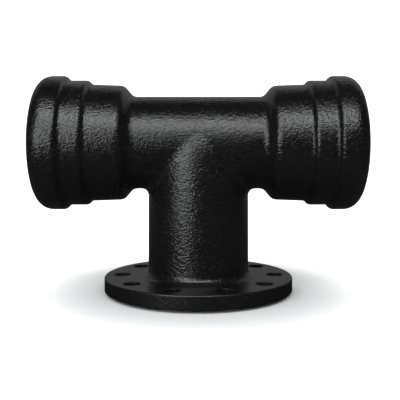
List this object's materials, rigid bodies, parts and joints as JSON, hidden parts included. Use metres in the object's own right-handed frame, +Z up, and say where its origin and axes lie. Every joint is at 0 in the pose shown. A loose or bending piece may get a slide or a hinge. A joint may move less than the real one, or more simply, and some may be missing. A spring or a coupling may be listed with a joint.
{
  "type": "flanged socket tee",
  "caption": "Black cast-iron pipe tee: a straight run with a stepped push-in socket at each end, and a round flanged branch pointing down.",
  "frame": {"origin": "centre of the branch flange's raised face, which the tee stands on", "axes": "+X along the run towards the right-hand socket; +Z up the branch, from the flange towards the run"},
  "size_m": [0.377, 0.22, 0.253],
  "materials": {
    "painted_iron": "semi-gloss black coating over sand-cast iron, with the grain showing through",
    "gasket_rubber": "matt black moulded rubber"
  },
  "bodies": {
    "root": {"tee_casting": "painted_iron", "left_socket_gasket": "gasket_rubber", "right_socket_gasket": "gasket_rubber"}
  },
  "joints": []
}
